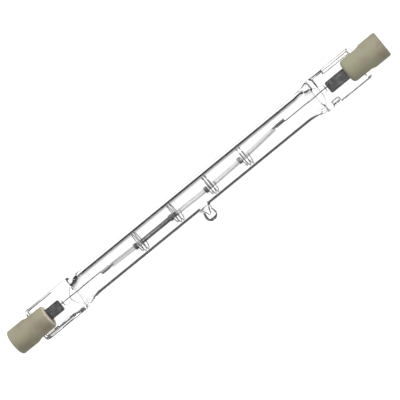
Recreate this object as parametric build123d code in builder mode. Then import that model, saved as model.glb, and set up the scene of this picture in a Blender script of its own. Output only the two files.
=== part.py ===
from build123d import *
from math import asin, cos, pi, sin, sqrt, tau
import os

# Linear double-ended halogen lamp, in millimetres.
# It lies on a surface: the lamp's axis runs along X, and it has rolled until its exhaust tip touches down.
# A length marked from the middle is measured along the axis from the lamp's centre, the same at both ends.

# Whole lamp and its two ceramic caps
overall_length = 117.6
cap_diameter = 7.0
cap_length = 11.3
cap_outer_rim = 0.5
cap_inner_rim = 1.1
rim_bevel = 0.29
recess_diameter = 3.8
recess_depth = 1.7
slot_reach = 6.5

# Contact button, in a seat of its own at the bottom of each recess
button_diameter = 2.9
button_thickness = 0.4
button_clearance = 0.05

# Quartz envelope: a tube, pressed flat at both ends around the foils
tube_diameter = 8.0
tube_wall = 1.0
pinch_length = 13.7
pinch_overlap = 4.5
pinch_width = 9.4
pinch_thickness = 2.8
pinch_corner = 1.2
pinch_end_corner = 0.7
web_thickness = 2.2
rib_width = 1.3
rib_end = 1.4
rib_start = 4.6
flare_length = 4.7
flare_stations = [0, 0.6, 0.85, 1]
pinch_step = 0.2
pinch_root = 0.8
web_corner = 0.6
cavity_end_width = 6.6
cavity_end_thickness = 0.7
cavity_end_wall = 0.35
cement_gap = 0.12
cement_setback = 0.4

# Exhaust tip, drawn off and sealed on one side of the tube
tip_x = -0.2
tip_reach = 7.6
bead_diameter = 3.4
neck_diameter = 2.9
tip_base_diameter = 5.0
waist_diameter = 3.3
tip_bore_diameter = 1.8
tip_throat_diameter = 0.7
tip_floor = 1.0

# Sealing foils and the leads welded to them
foil_width = 2.8
foil_thickness = 0.06
foil_edge_thickness = 0.02
foil_edge = 0.35
foil_length = 7.2
foil_weld = 1.2
outer_lead_diameter = 0.6
lead_hole_clearance = 0.1
lead_diameter = 0.26
lead_height = 0.36
pocket_length = 2.5
pocket_width = 2.6
pocket_thickness = 0.6
pocket_wall = 0.3

# The lead wound into a close coil, and its tapered core that the filament is pushed on
end_coil_diameter = 1.06
end_coil_pitch = 0.42
end_coil_turns = 6
core_diameter = 0.6
core_turns = 1.6
taper_turns = 1.0
bend_length = 0.35

# Filament
filament_diameter = 1.06
filament_wire = 0.14
filament_pitch = 0.95
filament_gap = 0.1

# Filament supports: a grip on the filament and a ring that stands in the tube's bore
support_wire = 0.22
ring_clearance = 0.22
ring_pitch = 0.8
ring_turns = 2.0
grip_clearance = 0.08
grip_pitch = 0.27
grip_turns = 3.0
arm_turns = 0.75
grip_to_ring = 0.45

# The two ends differ a little: how far each foil starts from the pinch's end, and sits off the axis,
# how far each end coil starts from the shoulder, and on which side its lead leaves it,
# and how far the sunk web sits off the pinch's middle
foil_inset = {"left": 8.8, "right": 10.3}
foil_shift = {"left": 0.36, "right": 0.0}
coil_inset = {"left": 7.8, "right": 9.7}
coil_side = {"left": -1, "right": 1}
web_shift = {"left": 0.5, "right": 0.0}

# Where the supports' rings stand, from the middle, and how far the filament is off the axis there
support_x = [-17.9, -6.6, 4.5, 15.5]
support_sag = [-0.16, -0.16, -0.42, -0.02]

# Chords to each turn of a wound wire, and flats round the wire
fine_sides = 3
lead_sides = 4
fine_chords = 8
grip_chords = 8
ring_chords = 12

# Derived sizes
tube_radius = tube_diameter / 2
bore_radius = tube_radius - tube_wall
cap_radius = cap_diameter / 2
cap_end = overall_length / 2
cap_start = cap_end - cap_length
pinch_end = cap_start + pinch_overlap
shoulder = pinch_end - pinch_length
tube_half = shoulder - flare_length
foil_start = {end: pinch_end - inset for end, inset in foil_inset.items()}
coil_start = {end: shoulder - inset for end, inset in coil_inset.items()}
slot_half = pinch_thickness / 2 + cement_gap
slot_end = cap_start + slot_reach
contact_face = cap_end - recess_depth
button_back = contact_face - button_thickness
button_radius = button_diameter / 2
bead_radius = bead_diameter / 2
bead_offset = tip_reach - bead_radius
neck_radius = neck_diameter / 2
neck_height = bead_offset - sqrt(bead_radius**2 - neck_radius**2)
waist_radius = waist_diameter / 2
waist_height = (tube_radius + neck_height) / 2
tip_hollow_reach = tip_reach - tip_floor
lead_radius = lead_diameter / 2
outer_lead_radius = outer_lead_diameter / 2
foil_level = -outer_lead_radius - foil_thickness / 2
lead_level = -outer_lead_radius + lead_radius
end_coil_radius = (end_coil_diameter - lead_diameter) / 2
core_radius = (core_diameter - lead_diameter) / 2
filament_radius = (filament_diameter - filament_wire) / 2
grip_radius = (filament_diameter + support_wire) / 2 + grip_clearance
ring_radius = bore_radius - ring_clearance - support_wire / 2

# The lamp rests on the tube and on the bead of its exhaust tip
roll = asin((tube_radius - bead_radius) / bead_offset)
reach_front = bead_offset * cos(roll) + bead_radius
reach_back = (
    (pinch_width / 2 - pinch_corner) * cos(roll)
    + (pinch_thickness / 2 - pinch_corner) * sin(roll)
    + pinch_corner
)
axis_y = (reach_front - reach_back) / 2
lamp = Plane(
    origin=(0, axis_y, tube_radius),
    x_dir=(1, 0, 0),
    z_dir=(0, -sin(roll), cos(roll)),
)
lamp_axis = Axis((0, axis_y, tube_radius), (1, 0, 0))
tip_axis = Axis(lamp.from_local_coords(Vector(tip_x, 0, 0)), lamp.y_dir)
across = Plane(origin=lamp.from_local_coords(Vector(0, -cap_radius, 0)), x_dir=(1, 0, 0), z_dir=lamp.y_dir)
ends = {"left": -1, "right": 1}

os.makedirs("parts", exist_ok=True)


def place(x, y, z):
    """A point given along the axis, across it away from the tip, and up from the pinches' flats."""
    return lamp.from_local_coords(Vector(x, y, z))


def section(side, distance, y=0, z=0):
    """The plane across the lamp at a distance from the middle, facing outwards."""
    return Plane(origin=place(side * distance, y, z), x_dir=lamp.y_dir, z_dir=(side, 0, 0))


def finish(piece, label):
    """Name a finished piece and write its file."""
    piece.part.label = label
    export_step(piece.part, f"parts/{label}.step")


def pressed(share, radius, half_width, half_thickness):
    """Half width and half thickness of the tube where it goes over from round to pressed flat."""
    return radius + share**2 * (half_width - radius), radius + share**3 * (half_thickness - radius)


def slot_outline(side, start):
    """The slot across a cap, seen from its side, from a distance from the middle to its round bottom."""
    straight = slot_end - slot_half - start
    with Locations((side * (start + straight / 2), 0)):
        Rectangle(straight, 2 * slot_half)
    with Locations((side * (start + straight), 0)):
        Circle(slot_half)


def turn(x, centre_y, radius, angle):
    """A point on a winding about a line along the axis, from its highest side across the lamp."""
    return place(x, centre_y + radius * cos(angle), lead_level + radius * sin(angle))


def coil_centre(end):
    """How far across the lamp the end coil's middle lies: its lead leaves it on one side."""
    return lead_height + coil_side[end] * end_coil_radius


def filament_height(x):
    """The filament's height across the lamp, between its end coils and its four grips."""
    xs = [-coil_start["left"]] + support_x + [coil_start["right"]]
    heights = [coil_centre("left")] + support_sag + [coil_centre("right")]
    for i in range(len(xs) - 2):
        if x < xs[i + 1]:
            break
    share = (x - xs[i]) / (xs[i + 1] - xs[i])
    return heights[i] + share * (heights[i + 1] - heights[i])


def inner_lead_route(end):
    """Points of an inner lead, from its weld on the foil to the end of its tapered core."""
    side = ends[end]
    start_angle = pi if coil_side[end] > 0 else 0
    points = [place(side * (foil_start[end] + foil_weld), lead_height, lead_level)]
    points.append(place(side * (coil_start[end] + bend_length), lead_height, lead_level))
    total = end_coil_turns + taper_turns + core_turns
    for i in range(round(total * fine_chords) + 1):
        turns = i / fine_chords
        share = min(max(turns - end_coil_turns, 0) / taper_turns, 1)
        radius = end_coil_radius + share * (core_radius - end_coil_radius)
        x = side * (coil_start[end] - turns * end_coil_pitch)
        points.append(turn(x, coil_centre(end), radius, start_angle - side * turns * tau))
    return points


def support_route(x, sag):
    """Points of one support, from the free end of its grip, out along its arm and round its ring."""
    ring_length = ring_turns * ring_pitch
    ring_start = x - ring_length / 2
    grip_end = ring_start - grip_to_ring
    points = []
    for i in range(round(grip_turns * grip_chords)):
        turns = i / grip_chords
        points.append(turn(grip_end - (grip_turns - turns) * grip_pitch, sag, grip_radius, turns * tau))
    arm_chords = round(arm_turns * grip_chords)
    for i in range(arm_chords):
        share = i / arm_chords
        eased = share * share * (3 - 2 * share)
        radius = grip_radius + eased * (ring_radius - grip_radius)
        centre = sag * (1 - eased)
        angle = (grip_turns + share * arm_turns) * tau
        level = lead_level * (1 - eased)
        across = centre + radius * cos(angle)
        points.append(place(grip_end + share * grip_to_ring, across, level + radius * sin(angle)))
    for i in range(round(ring_turns * ring_chords) + 1):
        turns = i / ring_chords
        angle = (grip_turns + arm_turns + turns) * tau
        across = ring_radius * cos(angle)
        points.append(place(ring_start + turns * ring_pitch, across, ring_radius * sin(angle)))
    return points


def filament_route():
    """Points of the filament's winding, from one end coil to the other."""
    taper_length = taper_turns * end_coil_pitch + filament_gap
    start = -coil_start["left"] + end_coil_turns * end_coil_pitch + taper_length
    stop = coil_start["right"] - end_coil_turns * end_coil_pitch - taper_length
    chords = round((stop - start) / filament_pitch * fine_chords)
    points = []
    for i in range(chords + 1):
        x = start + i / chords * (stop - start)
        points.append(turn(x, filament_height(x), filament_radius, i / fine_chords * tau))
    return points


# Inner leads: straight wire from the foil, close end coil, tapered core
leads = {}
for end in ends:
    with BuildPart() as inner_lead:
        with BuildLine():
            route = Polyline(*inner_lead_route(end))
        with BuildSketch(Plane(origin=route @ 0, z_dir=route % 0)):
            RegularPolygon(lead_radius, lead_sides)
        sweep(path=route, transition=Transition.RIGHT)
    finish(inner_lead, f"inner_lead_{end}")
    leads[end] = inner_lead.part

# Filament
with BuildPart() as filament:
    with BuildLine():
        route = Polyline(*filament_route())
    with BuildSketch(Plane(origin=route @ 0, z_dir=route % 0)):
        RegularPolygon(filament_wire / 2, fine_sides)
    sweep(path=route, transition=Transition.RIGHT)
finish(filament, "filament")

# Filament supports
for number, (x, sag) in enumerate(zip(support_x, support_sag), start=1):
    with BuildPart() as support:
        with BuildLine():
            route = Polyline(*support_route(x, sag))
        with BuildSketch(Plane(origin=route @ 0, z_dir=route % 0)):
            RegularPolygon(support_wire / 2, fine_sides)
        sweep(path=route, transition=Transition.RIGHT)
    finish(support, f"filament_support_{number}")

# Foils, thinned along both edges
foils = {}
for end, side in ends.items():
    with BuildPart() as foil:
        with BuildSketch(section(side, foil_start[end], foil_shift[end], foil_level)):
            flat = foil_width / 2 - foil_edge
            with BuildLine():
                Polyline(
                    (-flat, foil_thickness / 2),
                    (flat, foil_thickness / 2),
                    (foil_width / 2, foil_edge_thickness / 2),
                    (foil_width / 2, -foil_edge_thickness / 2),
                    (flat, -foil_thickness / 2),
                    (-flat, -foil_thickness / 2),
                    (-foil_width / 2, -foil_edge_thickness / 2),
                    (-foil_width / 2, foil_edge_thickness / 2),
                    close=True,
                )
            make_face()
        extrude(amount=foil_length)
    finish(foil, f"foil_{end}")
    foils[end] = foil.part

# Outer leads: straight pins from the foil, through the cap, to the back of the contact
outer_leads = {}
for end, side in ends.items():
    weld_start = foil_start[end] + foil_length - foil_weld
    with BuildPart() as outer_lead:
        with BuildSketch(section(side, weld_start)):
            Circle(outer_lead_radius)
        extrude(amount=button_back - weld_start)
    finish(outer_lead, f"outer_lead_{end}")
    outer_leads[end] = outer_lead.part

# Quartz envelope
with BuildPart() as quartz_envelope:
    with BuildSketch(section(1, -tube_half)):
        Circle(tube_radius)
    extrude(amount=2 * tube_half)

    # The tube's ends, pressed from round to flat
    for side in ends.values():
        for share in flare_stations:
            with BuildSketch(section(side, tube_half + share * flare_length)):
                Ellipse(*pressed(share, tube_radius, pinch_width / 2, pinch_thickness / 2 + pinch_step))
        loft(ruled=True)
        with BuildSketch(section(side, shoulder - pinch_root)):
            RectangleRounded(pinch_width, pinch_thickness, pinch_corner)
        extrude(amount=pinch_length + pinch_root)

    # Exhaust tip: a waist rising from the tube, and a bead where it was sealed off
    with BuildSketch(lamp):
        with BuildLine():
            root = (tip_x, -bore_radius - tube_wall / 2)
            base = (tip_x + tip_base_diameter / 2, -bore_radius - tube_wall / 2)
            neck = (tip_x + neck_radius, -neck_height)
            Polyline(root, base, (tip_x + waist_radius, -waist_height), neck)
            ThreePointArc(neck, (tip_x + bead_radius, -bead_offset), (tip_x, -tip_reach))
            Line((tip_x, -tip_reach), root)
        make_face()
    revolve(axis=tip_axis)

    # The pinches' outer corners, rounded as the quartz ran back from the cut
    corner = pinch_end - pinch_end_corner
    for side in ends.values():
        for edge in (-1, 1):
            with BuildSketch(lamp.offset(-pinch_thickness / 2)):
                with Locations((side * pinch_end, edge * pinch_width / 2)):
                    Rectangle(2 * pinch_end_corner, 2 * pinch_end_corner)
                with Locations((side * corner, edge * (pinch_width / 2 - pinch_end_corner))):
                    Circle(pinch_end_corner, mode=Mode.SUBTRACT)
            extrude(amount=pinch_thickness, mode=Mode.SUBTRACT)

    # The pinches' faces, sunk between their edge ribs
    for end, side in ends.items():
        middle = (shoulder + rib_start + pinch_end - rib_end) / 2
        length = pinch_length - rib_start - rib_end
        for face in (-1, 1):
            with BuildSketch(lamp.offset(face * web_thickness / 2)):
                with Locations((side * middle, web_shift[end])):
                    RectangleRounded(length, pinch_width - 2 * rib_width, web_corner)
            extrude(amount=face * pinch_thickness, mode=Mode.SUBTRACT)
    envelope_outside = quartz_envelope.part

    # Bore, closing to a flat end inside each shoulder
    with BuildSketch(section(1, -tube_half)):
        Circle(bore_radius)
    extrude(amount=2 * tube_half, mode=Mode.SUBTRACT)
    for side in ends.values():
        for share in flare_stations:
            with BuildSketch(section(side, tube_half + share * (flare_length - cavity_end_wall))):
                Ellipse(*pressed(share, bore_radius, cavity_end_width / 2, cavity_end_thickness / 2))
        loft(ruled=True, mode=Mode.SUBTRACT)

    # What is left of the exhaust tube's bore, narrowing into the bead
    with BuildSketch(lamp):
        with BuildLine():
            Polyline(
                (tip_x, -bore_radius / 2),
                (tip_x + tip_bore_diameter / 2, -bore_radius / 2),
                (tip_x + tip_throat_diameter / 2, -tip_hollow_reach),
                (tip_x, -tip_hollow_reach),
                close=True,
            )
        make_face()
    revolve(axis=tip_axis, mode=Mode.SUBTRACT)

    # The quartz has closed round each foil and its leads, but for a pocket at the foil's inner end
    for end, side in ends.items():
        pocket_start = foil_start[end] - pocket_wall - pocket_length
        with BuildSketch(section(side, pocket_start, lead_height, lead_level)):
            Ellipse(pocket_width / 2, pocket_thickness / 2)
        extrude(amount=pocket_length, mode=Mode.SUBTRACT)
        add(foils[end], mode=Mode.SUBTRACT)
        add(leads[end], mode=Mode.SUBTRACT)
        add(outer_leads[end], mode=Mode.SUBTRACT)
finish(quartz_envelope, "quartz_envelope")

# Ceramic caps: round blocks, slotted to straddle the pinch
for end, side in ends.items():
    with BuildPart() as cap:
        with BuildSketch(lamp):
            with BuildLine():
                Polyline(
                    (side * cap_start, 0),
                    (side * cap_start, cap_radius - cap_inner_rim),
                    (side * (cap_start + cap_inner_rim * rim_bevel), cap_radius - cap_inner_rim * rim_bevel),
                    (side * (cap_start + cap_inner_rim), cap_radius),
                    (side * (cap_end - cap_outer_rim), cap_radius),
                    (side * cap_end, cap_radius - cap_outer_rim),
                    (side * cap_end, 0),
                    close=True,
                )
            make_face()
        revolve(axis=lamp_axis)
        with BuildSketch(across):
            slot_outline(side, cap_start)
        extrude(amount=2 * cap_radius, mode=Mode.SUBTRACT)
        with BuildSketch(section(side, slot_end - slot_half)):
            Circle(outer_lead_radius + lead_hole_clearance)
        extrude(amount=cap_length, mode=Mode.SUBTRACT)
        with BuildSketch(section(side, button_back)):
            Circle(button_radius + button_clearance)
        extrude(amount=cap_length, mode=Mode.SUBTRACT)
        with BuildSketch(section(side, contact_face)):
            Circle(recess_diameter / 2)
        extrude(amount=cap_length, mode=Mode.SUBTRACT)
    finish(cap, f"ceramic_cap_{end}")

    # Contact button, with the outer lead welded to its back
    with BuildPart() as contact:
        with BuildSketch(section(side, button_back)):
            Circle(button_radius)
        extrude(amount=button_thickness)
    finish(contact, f"contact_{end}")

    # Cement that fills the slot round the end of the pinch
    with BuildPart() as cement:
        with BuildSketch(across):
            slot_outline(side, cap_start + cement_setback)
        extrude(amount=2 * cap_radius)
        with BuildSketch(section(side, cap_start)):
            Circle(cap_radius - cement_setback)
        extrude(amount=cap_length, mode=Mode.INTERSECT)
        add(envelope_outside, mode=Mode.SUBTRACT)
        add(outer_leads[end], mode=Mode.SUBTRACT)
    finish(cement, f"cap_cement_{end}")
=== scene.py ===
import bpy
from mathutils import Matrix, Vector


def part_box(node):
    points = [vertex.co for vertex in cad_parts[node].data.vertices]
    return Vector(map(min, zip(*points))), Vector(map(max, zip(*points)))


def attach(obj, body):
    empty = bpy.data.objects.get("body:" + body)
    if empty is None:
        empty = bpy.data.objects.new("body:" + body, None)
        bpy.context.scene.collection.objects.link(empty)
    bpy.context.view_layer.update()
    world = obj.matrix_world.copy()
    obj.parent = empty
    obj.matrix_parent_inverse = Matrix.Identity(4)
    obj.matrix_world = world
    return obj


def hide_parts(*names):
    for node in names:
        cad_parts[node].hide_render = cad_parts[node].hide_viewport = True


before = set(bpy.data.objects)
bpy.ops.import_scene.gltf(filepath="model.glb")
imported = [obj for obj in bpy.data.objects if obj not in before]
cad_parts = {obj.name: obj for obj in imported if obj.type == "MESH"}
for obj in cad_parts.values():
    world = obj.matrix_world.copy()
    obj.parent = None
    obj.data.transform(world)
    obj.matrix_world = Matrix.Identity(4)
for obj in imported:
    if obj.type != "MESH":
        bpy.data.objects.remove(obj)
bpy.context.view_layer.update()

from math import asin, cos, pi, radians, sin, sqrt, tau

import bpy
from bpy.props import FloatProperty, FloatVectorProperty, IntProperty, PointerProperty
from mathutils import Matrix, Vector

bl_info = {
    "name": "Linear Halogen Bulb",
    "version": (1, 0, 0),
    "blender": (4, 5, 0),
    "location": "View3D > Sidebar > Bulb",
    "description": "Dresses a linear halogen bulb: quartz, coiled wires, foils, ceramic caps and a studio",
    "category": "Add Mesh",
}

BODY = "root"
MM = 0.001
ENDS = {"left": -1, "right": 1}
STEPS_A_TURN = 24  # corners that a wire has in one turn
CLOSED = 0.01 * MM  # radius at which a round end counts as closed
ON_PLANE = 0.001 * MM  # how near to a plane a point counts as being on it
ONE_OR_MORE, TWO_OR_MORE = 0.5, 1.5  # limits that a count of bounces is over


def srgb(code):
    """A hex colour as the linear values that a shader takes."""
    shares = [int(code[i : i + 2], 16) / 255 for i in (1, 3, 5)]
    return [c / 12.92 if c <= 0.04045 else ((c + 0.055) / 1.055) ** 2.4 for c in shares]


def length(name, millimetres, description):
    """A size that is shown in the panel as a length."""
    return FloatProperty(
        name=name,
        description=description,
        default=millimetres * MM,
        min=0,
        precision=5,
        unit="LENGTH",
        subtype="DISTANCE",
    )


def position(name, millimetres, description):
    """A place along an axis, shown in the panel as a length that may be negative."""
    return FloatProperty(
        name=name,
        description=description,
        default=millimetres * MM,
        precision=5,
        unit="LENGTH",
        subtype="DISTANCE",
    )


def in_degrees(name, degrees, description):
    """An angle that is shown in the panel in degrees."""
    return FloatProperty(
        name=name, description=description, default=radians(degrees), unit="ROTATION", subtype="ANGLE"
    )


def number(name, value, description):
    """A plain number, such as a share or a count of turns."""
    return FloatProperty(name=name, description=description, default=value)


def power(name, watts, description):
    """The power of a lamp."""
    return FloatProperty(name=name, description=description, default=watts, min=0, unit="POWER")


def colour(name, code, description):
    """A colour that is shown in the panel as a swatch."""
    return FloatVectorProperty(
        name=name, description=description, default=srgb(code), size=3, min=0, max=1, subtype="COLOR"
    )


class BulbQuartz(bpy.types.PropertyGroup):
    """Sizes of the quartz envelope"""

    tube_diameter: length("Tube diameter", 8.0, "Outside of the quartz tube")
    tube_wall: length("Tube wall", 1.0, "Wall of the quartz tube")
    pinch_end: length("Pinch end", 52.0, "From the middle of the bulb to the end of each pinch")
    pinch_length: length("Pinch length", 13.7, "From the shoulder to the end of the pinch")
    pinch_width: length("Pinch width", 9.4, "Across the flat pinch")
    pinch_thickness: length("Pinch thickness", 2.8, "Through the pinch at its edge ribs")
    pinch_corner: length("Pinch corner", 1.2, "Rounding along the pinch's edges")
    end_corner: length("End corner", 0.7, "Rounding of the pinch's outer corners, seen on the flat")
    end_edge: length("End edge", 0.35, "Rounding of the edges of the pinch's end")
    web_depth: length("Web depth", 0.42, "How far the jaws sank the pinch's web")
    web_start_left: length("Web start, left", 4.2, "From the shoulder to where the left web starts")
    web_start_right: length("Web start, right", 0.6, "From the shoulder to where the right web starts")
    web_run: length("Web run", 1.4, "Over which the web sinks")
    web_end: length("Web end", 1.0, "From the web to the end of the pinch")
    web_upper_left: length("Web, upper left", 4.13, "From the axis to the left web's upper edge")
    web_lower_left: length("Web, lower left", 3.5, "From the axis to the left web's lower edge")
    web_upper_right: length("Web, upper right", 4.0, "From the axis to the right web's upper edge")
    web_lower_right: length("Web, lower right", 3.85, "From the axis to the right web's lower edge")
    steep: length("Steep slope", 0.32, "Width of the web's steep edges")
    soft: length("Soft slope", 1.0, "Width of the web's soft edge, at the lower right")
    dash_start: length("Dash start", 1.9, "From the shoulder to where that soft edge is steep")
    dash_length: length("Dash length", 2.2, "How long it stays steep")
    rib_start: length("Rib start", 4.7, "From the shoulder to the round end of the rib at the upper right")
    rib_inner: length("Rib, inner side", 3.4, "From the axis to that rib")
    bevel_start: length("Bevel start", 4.32, "From the axis to the bevel along the pinches' edges")
    bevel_width: length("Bevel width", 0.35, "Width of that bevel")
    flash_start: length("Flash start", 3.6, "From the axis to the bevel of the left pinch's lower edge")
    flash_width: length("Flash width", 0.7, "Width of that bevel")
    flash_wave: length("Flash wave", 0.12, "How far that bevel wanders")
    edge_thinned: number("Edge thinned", 0.75, "Share of the thickness lost at a bevel")
    flare_length: length("Flare length", 4.7, "Over which the tube goes over to the pinch")
    shoulder_blend: length("Shoulder blend", 0.7, "How softly the flare ends on the pinch")
    cavity_past: length("Cavity past", 0.05, "How far the sides of the bore's end go past the shoulder")
    cavity_width: length("Cavity width", 6.0, "Width of the flattened end of the bore")
    cavity_shift: length("Cavity shift", 0.35, "How far that end lies towards the exhaust tip")
    cavity_thickness: length("Cavity thickness", 0.45, "Height of the flattened end of the bore")
    cavity_slit: number("Cavity slit", 0.9, "Share of the flare after which the bore is flat")
    cavity_bulge_left: length("Cavity bulge, left", 2.0, "How far the bore's left end curves outwards")
    cavity_bulge_right: length("Cavity bulge, right", 1.15, "How far the bore's right end curves outwards")
    tip_reach: length("Tip reach", 7.6, "From the bulb's axis to the end of the exhaust tip")
    bead_diameter: length("Bead diameter", 3.4, "The drop that seals the exhaust tip")
    neck_diameter: length("Neck diameter", 2.9, "The exhaust tip's waist, under its bead")
    tip_base_diameter: length("Tip base diameter", 4.7, "Where the exhaust tip's flank meets the bore")
    tip_bore_diameter: length("Tip bore diameter", 3.7, "The exhaust tube's bore where it leaves the tube")
    tip_throat_diameter: length("Tip throat diameter", 0.7, "The narrow end of that bore")
    tip_floor: length("Tip floor", 2.1, "Quartz between that bore and the bead's end")
    pocket_width: length("Pocket width", 2.6, "Hollow round the lead where the quartz didn't close on it")
    pocket_thickness: length("Pocket thickness", 0.6, "Height of that hollow")
    pocket_length: length("Pocket length", 2.5, "Length of that hollow")
    pocket_wall: length("Pocket wall", 0.3, "Quartz between that hollow and the foil")
    pocket_taper_left: number("Pocket taper, left", 0.1, "Narrowing of that hollow")
    pocket_taper_right: number("Pocket taper, right", 0.75, "Narrowing of that hollow")
    tip_x: position("Tip place", -0.2, "Exhaust tip along the bulb, from its middle")
    segments: IntProperty(name="Segments", description="Faces round the quartz", default=240, min=24)
    crowding: number("Crowding", 0.5, "How far those faces crowd at the pinch's edges")


class BulbWires(bpy.types.PropertyGroup):
    """Sizes of the filament, its supports, the leads and the foils"""

    support_places: FloatVectorProperty(
        name="Support places",
        description="The four supports along the bulb",
        size=4,
        unit="LENGTH",
        precision=5,
        default=(-0.0179, -0.0066, 0.0045, 0.0155),
    )
    support_sags: FloatVectorProperty(
        name="Support sags",
        description="How far the filament lies off the axis there",
        size=4,
        unit="LENGTH",
        precision=5,
        default=(-0.00034, -0.0003, -0.00048, -0.00012),
    )
    coil_start_left: length("Coil start, left", 30.5, "From the bulb's middle to the left end coil")
    coil_start_right: length("Coil start, right", 28.6, "From the bulb's middle to the right end coil")
    end_coil_turns: number("End coil turns", 6.0, "Close turns of each lead")
    taper_turns: number("Taper turns", 1.0, "Turns from the close coil to the core")
    core_turns: number("Core turns", 1.6, "Turns of the core inside the filament")
    ring_turns: number("Ring turns", 2.0, "Turns of a support's ring")
    grip_turns: number("Grip turns", 3.0, "Turns of a support's grip")
    arm_turns: number("Arm turns", 0.75, "Turn of the arm between grip and ring")
    lead_diameter: length("Lead diameter", 0.26, "Wire of the inner lead")
    lead_height: length("Lead height", 0.36, "How far the lead lies off the axis, across the bulb")
    outer_lead_diameter: length("Outer lead diameter", 0.6, "Pin between foil and contact")
    end_coil_diameter: length("End coil diameter", 1.06, "Outside of the lead's close coil")
    end_coil_pitch: length("End coil pitch", 0.42, "From turn to turn of that coil")
    core_diameter: length("Core diameter", 0.6, "Outside of the tapered core inside the filament")
    filament_diameter: length("Filament diameter", 1.24, "Outside of the filament's winding")
    filament_wire: length("Filament wire", 0.09, "Wire of the filament")
    filament_pitch: length("Filament pitch", 0.26, "From turn to turn of the filament")
    dense_pitch: length("Dense pitch", 0.12, "From turn to turn between its first two supports")
    support_wire: length("Support wire", 0.22, "Wire of the filament supports")
    ring_diameter: length("Ring diameter", 5.34, "Middle of the wire of a support's ring")
    ring_pitch: length("Ring pitch", 0.8, "From turn to turn of that ring")
    grip_pitch: length("Grip pitch", 0.27, "From turn to turn of a support's grip")
    grip_clearance: length("Grip clearance", 0.03, "Between grip and filament")
    grip_to_ring: length("Arm length", 0.45, "Along the bulb, from grip to ring")
    foil_width: length("Foil width", 3.07, "Across the sealing foil")
    foil_length: length("Foil length", 7.2, "Along the sealing foil")
    foil_thickness: length("Foil thickness", 0.06, "Through the middle of the foil")
    foil_weld: length("Foil weld", 1.2, "How far the leads lie on the foil")
    foil_overlap: length("Foil overlap", 0.27, "How much wider than the packed foil it is, on its lower side")
    foil_corner: length("Foil corner", 0.3, "What is cut off the foil's inner corners")


class BulbCaps(bpy.types.PropertyGroup):
    """Sizes of the ceramic caps and contacts"""

    cap_end: length("Cap end", 58.8, "From the middle of the bulb to the end of each cap")
    cap_length: length("Cap length", 11.3, "Along the cap")
    cap_diameter: length("Cap diameter", 7.0, "Outside of the cap")
    outer_rim: length("Outer rim", 0.5, "Rounding at the cap's outer end")
    inner_rim: length("Inner rim", 1.1, "Rounding at the cap's inner end")
    slot_reach: length("Slot reach", 6.5, "Depth of the slot that straddles the pinch")
    slot_gap: length("Slot gap", 0.12, "Between the pinch and the slot's wall")
    recess_diameter: length("Recess diameter", 3.8, "Hole in the cap's end that leads to the contact")
    recess_depth: length("Recess depth", 1.7, "From the cap's end to the contact")
    contact_diameter: length("Contact diameter", 2.9, "Contact button")
    contact_thickness: length("Contact thickness", 0.4, "Contact button")
    seat_gap: length("Seat gap", 0.05, "Round the contact button in its seat")
    hole_gap: length("Hole gap", 0.1, "Round the outer lead in its hole")
    edge_round: length("Edge round", 0.1, "Rounding of the slot's and recess's edges")
    button_rim: length("Button rim", 0.12, "Rounding of the contact button's rim")
    dimple_inset: length("Dimple inset", 0.6, "From the button's rim to its dimple")
    dimple_depth: length("Dimple depth", 0.06, "Depth of that dimple")


class BulbColours(bpy.types.PropertyGroup):
    """Colours of the bulb's materials"""

    steatite: colour("Steatite", "#8F8A75", "Unglazed ceramic of the caps")
    steatite_green: colour("Steatite, greenish", "#8F8F73", "Where the ceramic is tinged green")
    # painted highlight: a lighter colour painted on the left cap's inner rim, where its rounding faces the
    # light
    steatite_rim_highlight: colour("Steatite, rim", "#C6BAAD", "Where the left cap's inner rim is painted bright")
    steatite_dark: colour("Steatite, darker", "#857B69", "Where the ceramic is browner")
    cement: colour("Cement", "#A39A88", "Cement between cap and pinch")
    tungsten: colour("Tungsten", "#6A6A6E", "Filament and its supports")
    tungsten_dark: colour("Tungsten, darker", "#262628", "Where the filament is blackened")
    molybdenum: colour("Molybdenum", "#303032", "Leads")
    foil: colour("Foil", "#3C3C3D", "Sealing foils")
    foil_bright: colour("Foil, bright", "#6C6C6A", "Where the foil's seal shines")
    foil_edge: colour("Foil, edge", "#101011", "Along the foil's thin edges")
    nickel: colour("Nickel", "#B3AFA6", "Contact buttons")


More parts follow.
